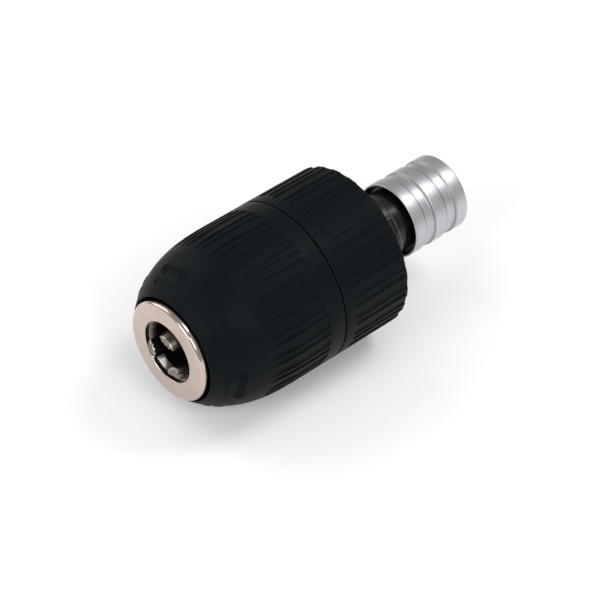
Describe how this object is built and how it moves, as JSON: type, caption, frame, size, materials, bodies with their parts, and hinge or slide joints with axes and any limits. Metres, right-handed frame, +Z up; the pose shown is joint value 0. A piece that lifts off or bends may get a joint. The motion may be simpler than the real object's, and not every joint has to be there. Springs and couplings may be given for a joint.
{
  "type": "keyless drill chuck",
  "caption": "Keyless three-jaw drill chuck with ribbed twin sleeves and a sprung quick-release rear coupling.",
  "frame": {"origin": "centre of the base of the bounding box: on the surface under the chuck as it lies on its side, below the middle of its length, jaws included", "axes": "+Y runs along the chuck's axis from the nose to the rear coupling, +Z is up as it lies, +X is to the right seen from the nose end looking along +Y"},
  "size_m": [0.0432, 0.0912, 0.0431],
  "materials": {
    "black_plastic": "fine satin moulding, slightly cool black",
    "blacked_steel": "smooth gloss black",
    "nickel": "warm satin nickel plate",
    "body_steel": "turned steel",
    "hard_steel": "ground hardened steel",
    "satin_aluminium": "fine turned satin",
    "cage_brass": "stamped brass"
  },
  "bodies": {
    "frame": {"chuck_body": "body_steel", "nose_ring": "nickel", "rear_sleeve": "black_plastic", "rear_race": "hard_steel", "coupling_hub": "blacked_steel", "retaining_screw": "body_steel", "spring_seat": "body_steel", "collar_spring": "hard_steel", "retaining_ring": "body_steel"},
    "front_sleeve_group": {"front_sleeve": "black_plastic", "nut_half_left": "body_steel", "nut_half_right": "body_steel", "nut_band": "body_steel", "front_race": "hard_steel"},
    "bearing_group": {"bearing_cage": "cage_brass", "bearing_ball_1": "hard_steel", "bearing_ball_2": "hard_steel", "bearing_ball_3": "hard_steel", "bearing_ball_4": "hard_steel", "bearing_ball_5": "hard_steel", "bearing_ball_6": "hard_steel", "bearing_ball_7": "hard_steel", "bearing_ball_8": "hard_steel", "bearing_ball_9": "hard_steel", "bearing_ball_10": "hard_steel", "bearing_ball_11": "hard_steel", "bearing_ball_12": "hard_steel"},
    "jaw_a": {"jaw_1": "hard_steel"},
    "jaw_b": {"jaw_2": "hard_steel"},
    "jaw_c": {"jaw_3": "hard_steel"},
    "collar": {"release_collar": "satin_aluminium"},
    "lock_a": {"locking_ball_1": "hard_steel"},
    "lock_b": {"locking_ball_2": "hard_steel"},
    "lock_c": {"locking_ball_3": "hard_steel"}
  },
  "joints": [
    {"name": "front_sleeve_turn", "type": "hinge", "parent": "frame", "child": "front_sleeve_group", "pos_m": [0, -0.02, 0.02155], "axis": [0, 1, 0], "range_deg": [-1525, 1784]},
    {"name": "bearing_roll", "type": "hinge", "parent": "frame", "child": "bearing_group", "pos_m": [0, -0.0194, 0.02155], "axis": [0, 1, 0], "range_deg": [-764.5, 894]},
    {"name": "jaw_slide_a", "type": "slide", "parent": "frame", "child": "jaw_a", "axis": [0.0647, 0.9703, 0.2331], "range_m": [-0.01095, 0.01281]},
    {"name": "jaw_slide_b", "type": "slide", "parent": "frame", "child": "jaw_b", "axis": [0.1696, 0.9703, -0.1726], "range_m": [-0.01095, 0.01281]},
    {"name": "jaw_slide_c", "type": "slide", "parent": "frame", "child": "jaw_c", "axis": [-0.2342, 0.9703, -0.0606], "range_m": [-0.01095, 0.01281]},
    {"name": "collar_slide", "type": "slide", "parent": "frame", "child": "collar", "axis": [0, -1, 0], "range_m": [0, 0.003], "stiffness_N_per_m": 1000, "springref_m": -0.004, "deforming": ["collar_spring"]},
    {"name": "lock_ball_a", "type": "slide", "parent": "frame", "child": "lock_a", "axis": [0, 0, 1], "range_m": [0, 0.00062]},
    {"name": "lock_ball_b", "type": "slide", "parent": "frame", "child": "lock_b", "axis": [0.866, 0, -0.5], "range_m": [0, 0.00062]},
    {"name": "lock_ball_c", "type": "slide", "parent": "frame", "child": "lock_c", "axis": [-0.866, 0, -0.5], "range_m": [0, 0.00062]}
  ],
  "couplings": [
    {"joint": "bearing_roll", "follows": "front_sleeve_turn", "ratio": 0.5},
    {"joint": "jaw_slide_a", "follows": "front_sleeve_turn", "m_per_rad": 0.00041007},
    {"joint": "jaw_slide_b", "follows": "front_sleeve_turn", "m_per_rad": 0.00041007},
    {"joint": "jaw_slide_c", "follows": "front_sleeve_turn", "m_per_rad": 0.00041007},
    {"joint": "lock_ball_a", "follows": "collar_slide", "ratio": 0.2},
    {"joint": "lock_ball_b", "follows": "collar_slide", "ratio": 0.2},
    {"joint": "lock_ball_c", "follows": "collar_slide", "ratio": 0.2}
  ]
}
